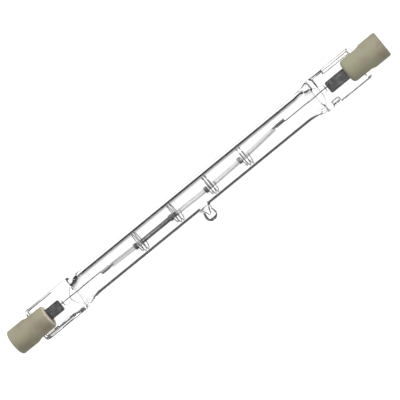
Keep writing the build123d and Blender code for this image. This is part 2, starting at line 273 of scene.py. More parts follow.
class BulbStudio(bpy.types.PropertyGroup):
    """Camera and light"""

    camera_distance: length("Camera distance", 480, "From the camera to the bulb")
    camera_yaw: in_degrees("Camera yaw", 7.0, "Turn towards the right end")
    camera_roll: in_degrees("Camera roll", 39.22, "Slope of the bulb in the picture")
    picture_width: length("Picture width", 98.5, "What the picture shows at the bulb")
    aim_right: length("Aim right", 0.936, "How far the camera aims to the right of the bulb's middle")
    aim_down: length("Aim down", 1.108, "How far the camera aims below the bulb's middle")
    floor_size: length("Floor size", 1600, "Side of the floor")
    grey_start: length("Grey start", 4.8, "Behind the tube: where the ground seen through quartz turns grey")
    grey_end: length("Grey end", 7.2, "Behind the tube: where that ground turns dark")
    dark_start: length("Dark start", 10.0, "Behind the tube: from where that ground is dark")
    dark_stop: length("Dark stop", 50.0, "Behind the bulb: where that ground is lit again")
    near_start: position("Near start", -4.4, "In front of the tube: where that ground turns dark")
    near_end: position("Near end", -4.8, "In front of the tube: from where that ground is dark")
    near_stop: position("Near stop", -7.5, "In front of the bulb: where that ground is lit again")
    pinch_from: length("Pinch from", 39.3, "From the bulb's middle to where the ground is open")
    tip_clear: length("Tip clear", 6.0, "From the bulb's middle: how far the ground at the tip stays lit")
    lit_level: number("Lit level", 1.12, "Brightness of what is seen through quartz")
    grey_level: number("Grey level", 0.6, "Brightness of the grey ground")
    dark_level: number("Dark level", 0.03, "Brightness of the dark ground")
    tip_disc: length("Tip disc", 2.6, "Radius of the open ground below the exhaust tip")
    tip_disc_x: position("Tip disc x", -0.2, "Middle of that disc, along the bulb")
    tip_disc_y: position("Tip disc y", -5.03, "Middle of that disc, beside the bulb's axis")
    straight_back: in_degrees("Straight back", 17, "Below open ground: white as far as this, backwards")
    straight_front: in_degrees("Straight front", 48, "Below open ground: white as far as this, forwards")
    straight_right: in_degrees("Straight right", 14, "Below open ground: white as far as this, to the right")
    straight_left: in_degrees("Straight left", 38, "Below open ground: white as far as this, to the left")
    back_angle: in_degrees("Back angle", 36, "After a bounce: white as far as this, backwards")
    front_angle: in_degrees("Front angle", 18, "After a bounce: white as far as this, forwards")
    front_limit: in_degrees("Front limit", 62, "After a bounce: white again beyond this, forwards")
    end_angle: in_degrees("End angle", 38, "After a bounce: white as far as this, towards the ends")
    angle_blur: number("Angle blur", 0.05, "Softness of those limits")
    room_level: number("Room level", 0.6, "Brightness of the room")
    mirrored_low: number("Mirrored low", 0.1, "Mirrored room at the horizon")
    mirrored_high: number("Mirrored high", 1.0, "Mirrored room overhead")
    sheet_shade: number("Sheet shade", 0.2, "How much of the lamps' light the floor returns")
    lamp_distance: length("Lamp distance", 600, "From the lamps to the bulb")
    key_power: power("Key power", 4.0, "Power of the key lamp")
    fill_power: power("Fill power", 1.2, "Power of the fill lamp")


def lamp_frame():
    """From the bulb's own axes to the ground: it has rolled until its exhaust tip touches down."""
    quartz = bpy.context.scene.bulb_quartz
    low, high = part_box("ceramic_cap_right")
    bead_radius = quartz.bead_diameter / 2
    roll = asin((quartz.tube_diameter / 2 - bead_radius) / (quartz.tip_reach - bead_radius))
    middle = (Vector(low) + Vector(high)) / 2
    return Matrix.Translation((0, middle.y, middle.z)) @ Matrix.Rotation(roll, 4, "X")


def smooth_step(share):
    """Goes from 0 to 1 with level ends."""
    share = min(max(share, 0), 1)
    return share * share * (3 - 2 * share)


def only(piece):
    """Select one piece and make it the active one."""
    bpy.ops.object.select_all(action="DESELECT")
    piece.select_set(True)
    bpy.context.view_layer.objects.active = piece


def skin(name, rings):
    """A closed surface through rings of points, with its first and last ring filled."""
    count = len(rings[0])
    last = (len(rings) - 1) * count
    faces = [list(range(count)), [last + i for i in range(count)]]
    for start in range(0, last, count):
        for i in range(count):
            j = (i + 1) % count
            faces.append((start + i, start + j, start + count + j, start + count + i))
    mesh = bpy.data.meshes.new(name)
    mesh.from_pydata([point for ring in rings for point in ring], [], faces)
    piece = bpy.data.objects.new(name, mesh)
    bpy.context.collection.objects.link(piece)
    only(piece)
    bpy.ops.object.mode_set(mode="EDIT")
    bpy.ops.mesh.select_all(action="SELECT")
    bpy.ops.mesh.normals_make_consistent(inside=False)
    bpy.ops.object.mode_set(mode="OBJECT")
    return piece


def cut(piece, tool, operation="DIFFERENCE"):
    """Cut a tool's shape out of a piece, or add it, and delete the tool."""
    only(piece)
    change = piece.modifiers.new("Cut", "BOOLEAN")
    change.operation = operation
    change.solver = "EXACT"
    change.object = tool
    bpy.ops.object.modifier_apply(modifier=change.name)
    bpy.data.objects.remove(tool)


def settle(piece, nodes, material, angle=40):
    """Lay a finished piece where its nodes are, let it stand for them and give it its material."""
    only(piece)
    piece.matrix_world = lamp_frame() @ piece.matrix_world
    bpy.ops.object.transform_apply(location=True, rotation=True, scale=True)
    bpy.ops.object.shade_smooth_by_angle(angle=radians(angle))
    piece.data.materials.clear()
    piece.data.materials.append(material)
    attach(piece, BODY)
    if nodes:
        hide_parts(*nodes)


def redress(node, material):
    """Give a construction piece that stays as it is a better material."""
    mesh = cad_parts[node].data
    mesh.materials.clear()
    mesh.materials.append(material)


def wire(name, points, diameter, sides=10):
    """A round wire through points, with closed ends."""
    curve = bpy.data.curves.new(name, "CURVE")
    curve.dimensions = "3D"
    curve.bevel_depth = diameter / 2
    curve.bevel_resolution = sides // 2 - 2  # a resolution of n gives 2 n + 4 sides
    curve.use_fill_caps = True
    spline = curve.splines.new("POLY")
    spline.points.add(len(points) - 1)
    for target, point in zip(spline.points, points):
        target.co = (*point, 1)
    piece = bpy.data.objects.new(name, curve)
    bpy.context.collection.objects.link(piece)
    only(piece)
    bpy.ops.object.convert(target="MESH")
    return bpy.context.object


def add_node(tree, kind, inputs=None, **settings):
    """Add a node, set its settings, and set or link its inputs by name or number."""
    node = tree.nodes.new(kind)
    for name, value in settings.items():
        setattr(node, name, value)
    for name, value in (inputs or {}).items():
        if isinstance(value, bpy.types.NodeSocket):
            tree.links.new(value, node.inputs[name])
        else:
            node.inputs[name].default_value = value
    return node


def new_material(name):
    """An empty material and its output node."""
    material = bpy.data.materials.new(name)
    material.use_nodes = True
    material.node_tree.nodes.clear()
    return material, material.node_tree, material.node_tree.nodes.new("ShaderNodeOutputMaterial")


def rgba(values):
    """A colour property as a shader's colour."""
    return (*values, 1)


def fused_quartz():
    """Fused quartz, drawn as tube: clear, smooth, and with a low index that leaves thin dark edges."""
    material, tree, output = new_material("fused_quartz")
    path = add_node(tree, "ShaderNodeLightPath").outputs
    glass = add_node(
        tree,
        "ShaderNodeBsdfPrincipled",
        {"Base Color": (1, 1, 1, 1), "Roughness": 0.0, "IOR": 1.458, "Transmission Weight": 1.0},
    )
    clear = add_node(tree, "ShaderNodeBsdfTransparent")
    mix = add_node(
        tree, "ShaderNodeMixShader", {0: path["Is Shadow Ray"], 1: glass.outputs[0], 2: clear.outputs[0]}
    )
    tree.links.new(mix.outputs[0], output.inputs["Surface"])
    return material


def drawn_metal(name, base, roughness, grain):
    """Drawn wire or a pressed button: a dull metal, a little streaked by its die."""
    streak = 0.1
    material, tree, output = new_material(name)
    place = add_node(tree, "ShaderNodeTexCoord").outputs["Object"]
    noise = add_node(tree, "ShaderNodeTexNoise", {"Vector": place, "Scale": 1 / grain, "Detail": 3.0})
    shade = add_node(
        tree,
        "ShaderNodeMapRange",
        {"Value": noise.outputs["Fac"], "To Min": roughness - streak, "To Max": roughness + streak},
    )
    metal = add_node(
        tree,
        "ShaderNodeBsdfPrincipled",
        {"Base Color": rgba(base), "Metallic": 1.0, "Roughness": shade.outputs["Result"]},
    )
    tree.links.new(metal.outputs[0], output.inputs["Surface"])
    return material


def blacken(material, start, stop):
    """Darken a wire along a stretch of the bulb, as a filament is where it ran coolest."""
    fade = 0.7  # how far from its middle the dark stretch ends, as a share of its length
    colours = bpy.context.scene.bulb_colours
    tree = material.node_tree
    place = add_node(tree, "ShaderNodeTexCoord").outputs["Object"]
    axes = add_node(tree, "ShaderNodeSeparateXYZ", {"Vector": place}).outputs
    offset = add_node(tree, "ShaderNodeMath", {0: axes["X"], 1: (start + stop) / 2}, operation="SUBTRACT")
    off_middle = add_node(tree, "ShaderNodeMath", {0: offset.outputs[0]}, operation="ABSOLUTE")
    inside = add_node(
        tree,
        "ShaderNodeMapRange",
        {
            "Value": off_middle.outputs[0],
            "From Min": (stop - start) / 2,
            "From Max": (stop - start) * fade,
            "To Min": 1.0,
            "To Max": 0.0,
        },
        interpolation_type="SMOOTHSTEP",
    )
    base = add_node(
        tree,
        "ShaderNodeMix",
        {0: inside.outputs["Result"], 6: rgba(colours.tungsten), 7: rgba(colours.tungsten_dark)},
        data_type="RGBA",
    )
    shader = next(node for node in tree.nodes if node.type == "BSDF_PRINCIPLED")
    tree.links.new(base.outputs[2], shader.inputs["Base Color"])


def sealed_foil():
    """Molybdenum foil pressed into quartz: dark, darker at its edges, brighter where the quartz let go."""
    patch_size = 1.1 * MM
    edge_start, edge_stop = 0.38, 0.48  # from the foil's middle, as shares of its width
    colours = bpy.context.scene.bulb_colours
    material, tree, output = new_material("foil_sealed_in_quartz")
    place = add_node(tree, "ShaderNodeTexCoord").outputs
    noise = add_node(
        tree, "ShaderNodeTexNoise", {"Vector": place["Object"], "Scale": 1 / patch_size, "Detail": 4.0}
    )
    patches = add_node(
        tree, "ShaderNodeMapRange", {"Value": noise.outputs["Fac"], "From Min": 0.5, "From Max": 0.75}
    )
    base = add_node(
        tree,
        "ShaderNodeMix",
        {0: patches.outputs["Result"], 6: rgba(colours.foil), 7: rgba(colours.foil_bright)},
        data_type="RGBA",
    )
    sheet = add_node(tree, "ShaderNodeSeparateXYZ", {"Vector": place["UV"]}).outputs
    offset = add_node(tree, "ShaderNodeMath", {0: sheet["Y"], 1: 0.5}, operation="SUBTRACT")
    off_middle = add_node(tree, "ShaderNodeMath", {0: offset.outputs[0]}, operation="ABSOLUTE")
    edge = add_node(
        tree,
        "ShaderNodeMapRange",
        {"Value": off_middle.outputs[0], "From Min": edge_start, "From Max": edge_stop},
        interpolation_type="SMOOTHSTEP",
    )
    edged = add_node(
        tree,
        "ShaderNodeMix",
        {0: edge.outputs["Result"], 6: base.outputs[2], 7: rgba(colours.foil_edge)},
        data_type="RGBA",
    )
    metal = add_node(
        tree, "ShaderNodeBsdfPrincipled", {"Base Color": edged.outputs[2], "Metallic": 0.6, "Roughness": 0.45}
    )
    tree.links.new(metal.outputs[0], output.inputs["Surface"])
    return material


def steatite():
    """Steatite, pressed and fired without glaze: matte, fine-grained, with clouds of green and brown.

    The left cap's inner rim carries a painted highlight: a lighter band along its rounding, where it faces
    the light."""
    cloud_size, grain_size, grain_depth = 4.5 * MM, 0.25 * MM, 0.05 * MM
    rim_fade = 0.2 * MM
    colours = bpy.context.scene.bulb_colours
    caps = bpy.context.scene.bulb_caps
    rim_end = caps.cap_length - caps.cap_end
    rim_start = rim_end - caps.inner_rim * 0.4
    material, tree, output = new_material("unglazed_steatite")
    place = add_node(tree, "ShaderNodeTexCoord").outputs["Object"]
    clouds = add_node(tree, "ShaderNodeTexNoise", {"Vector": place, "Scale": 1 / cloud_size, "Detail": 2.0})
    base = rgba(colours.steatite)
    for tinge, full in ((colours.steatite_green, 0.7), (colours.steatite_dark, 0.3)):
        amount = add_node(
            tree, "ShaderNodeMapRange", {"Value": clouds.outputs["Fac"], "From Min": 0.5, "From Max": full}
        )
        base = add_node(
            tree, "ShaderNodeMix", {0: amount.outputs["Result"], 6: base, 7: rgba(tinge)}, data_type="RGBA"
        ).outputs[2]
    axes = add_node(tree, "ShaderNodeSeparateXYZ", {"Vector": place}).outputs
    # painted highlight: a lighter band on the left cap's inner rim, where its rounding faces the light
    rim = add_node(
        tree,
        "ShaderNodeMapRange",
        {"Value": axes["X"], "From Min": rim_start, "From Max": rim_start + rim_fade},
        interpolation_type="SMOOTHSTEP",
    )
    left_half = add_node(tree, "ShaderNodeMath", {0: axes["X"], 1: 0.0}, operation="LESS_THAN")
    painted_rim_highlight = add_node(
        tree, "ShaderNodeMath", {0: rim.outputs["Result"], 1: left_half.outputs[0]}, operation="MULTIPLY"
    )
    base = add_node(
        tree,
        "ShaderNodeMix",
        {0: painted_rim_highlight.outputs[0], 6: base, 7: rgba(colours.steatite_rim_highlight)},
        data_type="RGBA",
    )
    grain = add_node(tree, "ShaderNodeTexNoise", {"Vector": place, "Scale": 1 / grain_size, "Detail": 4.0})
    bump = add_node(
        tree, "ShaderNodeBump", {"Height": grain.outputs["Fac"], "Strength": 0.25, "Distance": grain_depth}
    )
    ceramic = add_node(
        tree,
        "ShaderNodeBsdfPrincipled",
        {"Base Color": base.outputs[2], "Roughness": 0.75, "IOR": 1.55, "Normal": bump.outputs["Normal"]},
    )
    tree.links.new(ceramic.outputs[0], output.inputs["Surface"])
    return material


def lamp_cement():
    """Silicate cement: chalky and full of fine grit."""
    grit_size, grit_depth = 0.2 * MM, 0.08 * MM
    colours = bpy.context.scene.bulb_colours
    material, tree, output = new_material("silicate_cement")
    place = add_node(tree, "ShaderNodeTexCoord").outputs["Object"]
    grit = add_node(tree, "ShaderNodeTexNoise", {"Vector": place, "Scale": 1 / grit_size, "Detail": 5.0})
    bump = add_node(
        tree, "ShaderNodeBump", {"Height": grit.outputs["Fac"], "Strength": 0.6, "Distance": grit_depth}
    )
    cement = add_node(
        tree,
        "ShaderNodeBsdfPrincipled",
        {"Base Color": rgba(colours.cement), "Roughness": 0.95, "Normal": bump.outputs["Normal"]},
    )
    tree.links.new(cement.outputs[0], output.inputs["Surface"])
    return material


def round_rectangle(share, half_width, half_height, corner):
    """A point at a share of the way round a rounded rectangle, from the middle of its right side."""
    quarter = int(share * 4) % 4
    part = share * 4 - int(share * 4)
    if quarter % 2:
        part = 1 - part
    side, top, bend = half_height - corner, half_width - corner, corner * pi / 2
    walk = part * (side + bend + top)
    if walk < side:
        across, up = half_width, walk
    elif walk < side + bend:
        angle = (walk - side) / corner
        across, up = top + corner * cos(angle), side + corner * sin(angle)
    else:
        across, up = top - (walk - side - bend), half_height
    return (-across if quarter in (1, 2) else across), (-up if quarter in (2, 3) else up)


def rounded_off(size, left, corner):
    """A half size near a rounded end, with so much of its length left."""
    if left >= corner:
        return size
    return size - corner * (1 - sqrt(max(1 - (1 - left / corner) ** 2, 0)))


def quarter_turn(steps):
    """Angles from nothing to a quarter turn."""
    return [i / steps * pi / 2 for i in range(steps + 1)]


def slope_down(value, edge, width):
    """Falls from 1 to 0 over a width, centred on an edge."""
    return 1 - smooth_step((value - edge) / width + 0.5)


def pressed(distance, side, across, quartz):
    """How deep the jaws sank the pinch at a point: a web with steep and soft edges, a rib, a short groove."""
    end, edge = ("left", "lower") if across < 0 else ("left", "upper")
    if side > 0:
        end = "right"
    start = distance - (quartz.pinch_end - quartz.pinch_length)
    run = smooth_step((start - getattr(quartz, f"web_start_{end}")) / quartz.web_run)
    run *= slope_down(distance, quartz.pinch_end - quartz.web_end, quartz.steep)
    width, groove = quartz.steep, 0
    if side > 0 and across < 0:
        half_dash = quartz.dash_length / 2
        dash = slope_down(abs(start - quartz.dash_start - half_dash), half_dash, quartz.steep)
        width = quartz.soft + dash * (quartz.steep - quartz.soft)
        off_groove = abs(-across - quartz.web_lower_right + quartz.steep)
        groove = dash * slope_down(off_groove, quartz.steep, quartz.steep)
    sunk = run * slope_down(abs(across), getattr(quartz, f"web_{edge}_{end}"), width) + groove
    if side > 0 and across > 0:
        half = (quartz.web_upper_right - quartz.rib_inner) / 2
        off_middle = across - quartz.rib_inner - half
        before = max(quartz.rib_start + half - start, 0)
        rib = slope_down(sqrt(off_middle**2 + before**2), half, quartz.steep)
        past_rib = slope_down(quartz.rib_inner, across, quartz.steep)
        rib = max(rib, slope_down(before, 0, quartz.steep) * past_rib)
        sunk *= 1 + smooth_step(across / quartz.rib_inner) * (1 - rib)
    return sunk * quartz.web_depth


def edge_thinning(distance, side, across, quartz):
    """The share of a pinch's thickness that is left near its edges, which are bevelled."""
    long_wave, short_wave, short_share = 0.9 * MM, 0.41 * MM, 0.6
    run = distance - (quartz.pinch_end - quartz.pinch_length)
    if side > 0 and across > 0:
        return 1
    start, width = quartz.bevel_start, quartz.bevel_width
    if side < 0 and across < 0:
        wave = sin(run / long_wave) + short_share * sin(run / short_wave + 1)
        start, width = quartz.flash_start + quartz.flash_wave * wave, quartz.flash_width
    return 1 - smooth_step(run / MM) * quartz.edge_thinned * min(max((abs(across) - start) / width, 0), 1)


def envelope_ring(distance, side, quartz):
    """The envelope's outline across the bulb, at a distance from its middle."""
    square_from = 0.3  # share of the flare after which the outline turns square
    radius = quartz.tube_diameter / 2
    shoulder = quartz.pinch_end - quartz.pinch_length
    share = max((distance - shoulder + quartz.flare_length) / quartz.flare_length, 0)
    flat = quartz.pinch_thickness / 2
    fall = (radius - flat) * (1 - share**3)
    thickness = flat + (fall + sqrt(fall**2 + quartz.shoulder_blend**2)) / 2
    width = radius + min(share, 1) ** 2 * (quartz.pinch_width / 2 - radius)
    left = quartz.pinch_end - distance
    width = rounded_off(width, left, quartz.end_corner)
    thickness = rounded_off(thickness, left, quartz.end_edge)
    squareness = smooth_step((share - square_from) / (1 - square_from))
    points = []
    for i in range(quartz.segments):
        turn = i / quartz.segments
        turn -= quartz.crowding * sin(2 * turn * tau) / (2 * tau)
        round_y, round_z = width * cos(turn * tau), thickness * sin(turn * tau)
        corner = quartz.pinch_corner + max(thickness - quartz.pinch_corner, 0) * (1 - smooth_step(share))
        flat_y, flat_z = round_rectangle(turn, width, thickness, corner)
        y = round_y + squareness * (flat_y - round_y)
        z = round_z + squareness * (flat_z - round_z)
        if share >= 1:
            z -= pressed(distance, side, y, quartz) * (1 if z > 0 else -1)
            z *= edge_thinning(distance, side, y, quartz)
        points.append((side * distance, y, z))
    return points


def envelope_stations(quartz):
    """Distances from the middle at which the envelope's outline is worked out, close where it changes."""
    steps, corner_steps = 24, 8
    pinch_step = 0.18 * MM  # fine enough for the edges that the jaws pressed
    shoulder = quartz.pinch_end - quartz.pinch_length
    tube_half = shoulder - quartz.flare_length
    corner_start = quartz.pinch_end - quartz.end_corner
    pinch_steps = round((corner_start - shoulder) / pinch_step)
    stations = [tube_half * i / steps for i in range(steps)]
    stations += [tube_half + quartz.flare_length * i / steps for i in range(steps)]
    stations += [shoulder + (corner_start - shoulder) * i / pinch_steps for i in range(pinch_steps)]
    return stations + [corner_start + quartz.end_corner * sin(turn) for turn in quarter_turn(corner_steps)]


def cavity_stations(quartz):
    """Distances from the middle at which the bore's outline is worked out, close where it flattens."""
    steps, flat_steps = 24, 20
    tube_half = quartz.pinch_end - quartz.pinch_length - quartz.flare_length
    flattening = quartz.flare_length + quartz.cavity_past
    stations = [tube_half * i / steps for i in range(steps)]
    return stations + [tube_half + flattening * i / flat_steps for i in range(flat_steps + 1)]


def cavity_ring(distance, side, quartz, segments=96):
    """The bore's outline, at a distance from the middle: round in the tube, flat at its end."""
    flattening_curve = 1.6
    blend = 0.15 * MM  # how softly the flattening ends in the slit
    radius = quartz.tube_diameter / 2 - quartz.tube_wall
    tube_half = quartz.pinch_end - quartz.pinch_length - quartz.flare_length
    share = max(distance - tube_half, 0) / (quartz.flare_length + quartz.cavity_past)
    width = radius + share**2 * (quartz.cavity_width / 2 - radius)
    slit = quartz.cavity_thickness / 2
    fall = (radius - slit) * (1 - (share / quartz.cavity_slit) ** flattening_curve)
    height = slit + (fall + sqrt(fall**2 + blend**2)) / 2
    reach = quartz.cavity_bulge_left if side < 0 else quartz.cavity_bulge_right
    points = []
    for i in range(segments):
        angle = i / segments * tau
        bulge = share**2 * reach * sin(angle) ** 2
        across = width * cos(angle) - share**2 * quartz.cavity_shift
        points.append((side * (distance + bulge), across, height * sin(angle)))
    return points


def cavity_nose(turn, side, quartz):
    """The bore's flat end, rounded off: its last outline drawn in by a part of a quarter turn."""
    end_height = 0.02  # share of the slit's height that its closed end keeps
    reach = quartz.cavity_thickness / 2
    drawn_in = 1 - reach * (1 - cos(turn)) / (quartz.cavity_width / 2)
    flat = max(cos(turn), end_height)
    ring = cavity_ring(cavity_stations(quartz)[-1], side, quartz)
    return [(x + side * reach * sin(turn), y * drawn_in, z * flat) for x, y, z in ring]


def stack_of_circles(outline, place, segments=64):
    """Rings about an axis, for heights and radii."""
    rings = []
    for height, radius in outline:
        angles = [i / segments * tau for i in range(segments)]
        rings.append([place(radius * cos(angle), height, radius * sin(angle)) for angle in angles])
    return rings


def tip_outline(quartz):
    """Heights and radii of the exhaust tip: a flank that sweeps in to the neck, and the bead."""
    flank_steps, flank_curve, bead_steps = 20, 2.2, 24
    inside_wall = 0.25 * MM  # from the bore to where the flank starts, inside the tube's wall
    bead, neck = quartz.bead_diameter / 2, quartz.neck_diameter / 2
    centre = quartz.tip_reach - bead
    neck_height = centre - sqrt(bead**2 - neck**2)
    start = quartz.tube_diameter / 2 - quartz.tube_wall + inside_wall
    outline = []
    for i in range(flank_steps):
        share = i / flank_steps
        flank = neck + (quartz.tip_base_diameter / 2 - neck) * (1 - share) ** flank_curve
        outline.append((start + share * (neck_height - start), flank))
    low = asin((neck_height - centre) / bead)
    for i in range(bead_steps + 1):
        angle = low + (pi / 2 - low) * i / bead_steps
        outline.append((centre + bead * sin(angle), max(bead * cos(angle), CLOSED)))
    return outline


def tip_hollow_outline(quartz):
    """Heights and radii of the exhaust tube's bore: open to the tube, and narrowing to a round end."""
    steps, curve, end_steps = 16, 1.5, 6
    inside_bore = 0.6 * MM  # how far the hollow reaches into the tube's bore
    bore, throat = quartz.tip_bore_diameter / 2, quartz.tip_throat_diameter / 2
    top = quartz.tip_reach - quartz.tip_floor
    start = quartz.tube_diameter / 2 - quartz.tube_wall - inside_bore
    outline = []
    for i in range(steps + 1):
        radius = throat + (bore - throat) * (1 - i / steps) ** curve
        outline.append((start + (top - start) * i / steps, radius))
    for turn in quarter_turn(end_steps)[1:]:
        outline.append((top + throat * sin(turn), max(throat * cos(turn), CLOSED)))
    return outline


def pocket_rings(end, side, quartz, wires):
    """Outlines of the hollow round a lead beside its foil, thinner towards the upper side."""
    steps, corners = 16, 48
    thinned, end_size = 0.75, 0.001  # share of the height lost at the upper side, and size of the closed ends
    last = foil_start(end) - quartz.pocket_wall
    taper = getattr(quartz, f"pocket_taper_{end}")
    rings = []
    for i in range(steps + 1):
        share = i / steps
        swell = sqrt(max(1 - (2 * share - 1) ** 4, end_size)) * (1 - taper * (1 - share))
        ring = []
        for j in range(corners):
            angle = j / corners * tau
            wedge = 1 - thinned * max(cos(angle), 0)
            across = wires.lead_height + swell * quartz.pocket_width / 2 * cos(angle)
            up = lead_level(wires) + swell * wedge * quartz.pocket_thickness / 2 * sin(angle)
            ring.append((side * (last - quartz.pocket_length * (1 - share)), across, up))
        rings.append(ring)
    return rings


class BULB_OT_quartz(bpy.types.Operator):
    """Make the quartz envelope: tube, pressed ends, exhaust tip, bore and the hollows round the leads"""

    bl_idname = "bulb.quartz"
    bl_label = "Quartz envelope"

    def execute(self, context):
        quartz, wires = context.scene.bulb_quartz, context.scene.bulb_wires
        stations = envelope_stations(quartz)
        rings = [envelope_ring(distance, -1, quartz) for distance in reversed(stations[1:])]
        rings += [envelope_ring(distance, 1, quartz) for distance in stations]
        envelope = skin("quartz_body", rings)

        def out_of_tube(x, height, z):
            return quartz.tip_x + x, -height, z

        cut(envelope, skin("tip", stack_of_circles(tip_outline(quartz), out_of_tube)), "UNION")

        stations = cavity_stations(quartz)
        turns = quarter_turn(6)[1:]
        rings = [cavity_nose(turn, -1, quartz) for turn in reversed(turns)]
        rings += [cavity_ring(distance, -1, quartz) for distance in reversed(stations[1:])]
        rings += [cavity_ring(distance, 1, quartz) for distance in stations]
        rings += [cavity_nose(turn, 1, quartz) for turn in turns]
        cut(envelope, skin("bore", rings))
        cut(envelope, skin("tip_hollow", stack_of_circles(tip_hollow_outline(quartz), out_of_tube)))
        for end, side in ENDS.items():
            cut(envelope, skin("pocket", pocket_rings(end, side, quartz, wires)))
        settle(envelope, ["quartz_envelope"], fused_quartz())
        return {"FINISHED"}


def foil_start(end):
    """Where a foil starts, from the middle of the bulb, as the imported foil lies."""
    low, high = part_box(f"foil_{end}")
    return min(abs(low[0]), abs(high[0]))


def foil_shift(end):
    """How far a foil sits off the axis, across the bulb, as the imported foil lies."""
    low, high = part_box(f"foil_{end}")
    local = lamp_frame().inverted() @ ((Vector(low) + Vector(high)) / 2)
    return local.y


def lead_level(wires):
    """The height of the leads and the filament over the axis: they lie in the foil's plane."""
    return (wires.lead_diameter - wires.outer_lead_diameter) / 2


def coil_centre(side, wires):
    """How far across the bulb an end coil's middle lies: below its lead at the left, above at the right."""
    return wires.lead_height + side * (wires.end_coil_diameter - wires.lead_diameter) / 2


def filament_height(x, wires):
    """How far across the bulb the filament lies, between its end coils and its four grips."""
    places = [-wires.coil_start_left, *wires.support_places, wires.coil_start_right]
    heights = [coil_centre(-1, wires), *wires.support_sags, coil_centre(1, wires)]
    span = 0
    while span < len(places) - 2 and x > places[span + 1]:
        span += 1
    share = (x - places[span]) / (places[span + 1] - places[span])
    return heights[span] + share * (heights[span + 1] - heights[span])


class BULB_OT_leads(bpy.types.Operator):
    """Wind the inner leads: straight from the foil, then a close coil and a tapered core"""

    bl_idname = "bulb.leads"
    bl_label = "Inner leads"

    def execute(self, context):
        wires = context.scene.bulb_wires
        level = lead_level(wires)
        coil = (wires.end_coil_diameter - wires.lead_diameter) / 2
        core = (wires.core_diameter - wires.lead_diameter) / 2
        metal = drawn_metal("molybdenum_wire", context.scene.bulb_colours.molybdenum, 0.4, 0.15 * MM)
        winding = wires.end_coil_turns + wires.taper_turns + wires.core_turns
        for end, side in ENDS.items():
            coil_start = getattr(wires, f"coil_start_{end}")
            start_angle = pi if side > 0 else 0
            points = [(side * (foil_start(end) + wires.foil_weld), wires.lead_height, level)]
            points.append((side * (coil_start + wires.lead_diameter), wires.lead_height, level))
            for i in range(round(winding * STEPS_A_TURN) + 1):
                turns = i / STEPS_A_TURN
                tapered = smooth_step((turns - wires.end_coil_turns) / wires.taper_turns)
                radius = coil + tapered * (core - coil)
                angle = start_angle - side * turns * tau
                across = coil_centre(side, wires) + radius * cos(angle)
                x = side * (coil_start - turns * wires.end_coil_pitch)
                points.append((x, across, level + radius * sin(angle)))
            lead = wire(f"lead_wire_{end}", points, wires.lead_diameter)
            settle(lead, [f"inner_lead_{end}"], metal)
            redress(f"outer_lead_{end}", metal)
        return {"FINISHED"}


class BULB_OT_filament(bpy.types.Operator):
    """Wind the filament between the two end coils"""

    bl_idname = "bulb.filament"
    bl_label = "Filament"

    def execute(self, context):
        steps = 14
        wires = context.scene.bulb_wires
        low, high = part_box("filament")
        radius = (wires.filament_diameter - wires.filament_wire) / 2
        points = []
        x, angle = low[0] + wires.filament_wire, 0
        while x < high[0] - wires.filament_wire:
            across = filament_height(x, wires) + radius * cos(angle)
            points.append((x, across, lead_level(wires) + radius * sin(angle)))
            dense = wires.support_places[0] < x < wires.support_places[1]
            x += (wires.dense_pitch if dense else wires.filament_pitch) / steps
            angle += tau / steps
        filament = wire("filament_winding", points, wires.filament_wire, sides=6)
        metal = drawn_metal("tungsten_filament", context.scene.bulb_colours.tungsten, 0.45, 0.1 * MM)
        blacken(metal, wires.support_places[0], wires.support_places[1])
        settle(filament, ["filament"], metal, angle=75)
        return {"FINISHED"}


class BULB_OT_supports(bpy.types.Operator):
    """Wind the four filament supports, each with its grip and its ring"""

    bl_idname = "bulb.supports"
    bl_label = "Filament supports"

    def execute(self, context):
        wires = context.scene.bulb_wires
        level = lead_level(wires)
        ring, ring_steps = wires.ring_diameter / 2, STEPS_A_TURN * 2
        grip = (wires.filament_diameter + wires.support_wire) / 2 + wires.grip_clearance
        metal = drawn_metal("tungsten_wire", context.scene.bulb_colours.tungsten, 0.35, 0.15 * MM)
        for number, (x, sag) in enumerate(zip(wires.support_places, wires.support_sags), start=1):
            ring_start = x - wires.ring_turns * wires.ring_pitch / 2
            grip_end = ring_start - wires.grip_to_ring
            points = []
            for i in range(round(wires.grip_turns * STEPS_A_TURN)):
                turns = i / STEPS_A_TURN
                along = grip_end - (wires.grip_turns - turns) * wires.grip_pitch
                points.append((along, sag + grip * cos(turns * tau), level + grip * sin(turns * tau)))
            for i in range(round(wires.arm_turns * STEPS_A_TURN)):
                share = i / (wires.arm_turns * STEPS_A_TURN)
                eased = smooth_step(share)
                radius = grip + eased * (ring - grip)
                angle = (wires.grip_turns + share * wires.arm_turns) * tau
                along = grip_end + share * wires.grip_to_ring
                across = sag * (1 - eased) + radius * cos(angle)
                points.append((along, across, level * (1 - eased) + radius * sin(angle)))
            for i in range(round(wires.ring_turns * ring_steps) + 1):
                turns = i / ring_steps
                angle = (wires.grip_turns + wires.arm_turns + turns) * tau
                points.append((ring_start + turns * wires.ring_pitch, ring * cos(angle), ring * sin(angle)))
            support = wire(f"support_wire_{number}", points, wires.support_wire)
            settle(support, [f"filament_support_{number}"], metal)
        return {"FINISHED"}


